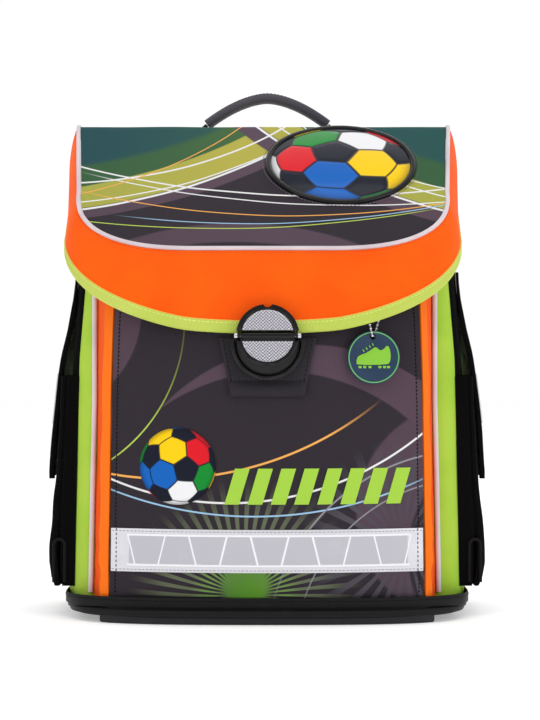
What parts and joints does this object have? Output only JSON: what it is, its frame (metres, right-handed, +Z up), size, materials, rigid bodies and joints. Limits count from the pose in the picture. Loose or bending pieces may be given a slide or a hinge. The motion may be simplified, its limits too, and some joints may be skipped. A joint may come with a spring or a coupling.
{
  "type": "school ransel",
  "caption": "Box-shaped school backpack with a sloping lid, a front pocket, a turning lever lock, side pouches, a moulded base and a hanging disc charm.",
  "frame": {"origin": "middle of the bag's box in plan, on the plane of its feet", "axes": "+Z up, the lid's front and the lock face -Y, +X to the right seen from the front"},
  "size_m": [0.345, 0.264, 0.4242],
  "materials": {
    "printed_fabric": "printed polyester",
    "grey_piping": "woven piping",
    "orange_fabric": "coated polyester",
    "lime_binding": "grosgrain",
    "green_fabric": "coated polyester",
    "black_fabric": "woven polyester",
    "padding": "air mesh over foam",
    "badge_gloss": "domed gloss",
    "charm_vinyl": "moulded soft vinyl",
    "reflective": "silver reflective film",
    "prism": "moulded prismatic reflector",
    "black_plastic": "satin moulding",
    "base_plastic": "moulded base",
    "steel": "plated"
  },
  "bodies": {
    "bag": {"lid_panel": "printed_fabric", "lid_piping": "grey_piping", "lid_skirt": "orange_fabric", "lid_binding": "lime_binding", "ball_badge": "badge_gloss", "badge_rim": "black_plastic", "main_body": "green_fabric", "pocket_panel": "printed_fabric", "pocket_gusset": "orange_fabric", "body_piping_right": "grey_piping", "body_piping_left": "grey_piping", "reflective_band": "reflective", "lock_patch": "black_fabric", "lock_base": "black_plastic", "lock_pin": "steel", "lock_flap_plate": "black_plastic", "lock_reflector_upper": "prism", "charm_disc": "charm_vinyl", "charm_chain": "steel", "charm_tab": "black_fabric", "base_tray": "base_plastic", "side_pouch_right": "black_fabric", "side_pouch_left": "black_fabric", "side_flap_right": "printed_fabric", "side_flap_left": "printed_fabric", "flap_reflector_right": "reflective", "flap_reflector_left": "reflective", "carry_handle": "padding", "handle_end_right": "black_fabric", "handle_end_left": "black_fabric", "back_pad": "padding", "shoulder_strap_right": "padding", "shoulder_strap_left": "padding", "strap_webbing_right": "black_fabric", "strap_webbing_left": "black_fabric", "strap_buckle_right": "black_plastic", "strap_buckle_left": "black_plastic"},
    "lever": {"lock_lever": "black_plastic", "lock_reflector_lower": "prism"}
  },
  "joints": [
    {"name": "lever_hinge", "type": "hinge", "parent": "bag", "child": "lever", "pos_m": [0.0005, -0.12821, 0.2175], "axis": [-1, 0, 0], "range_deg": [0, 75]}
  ]
}
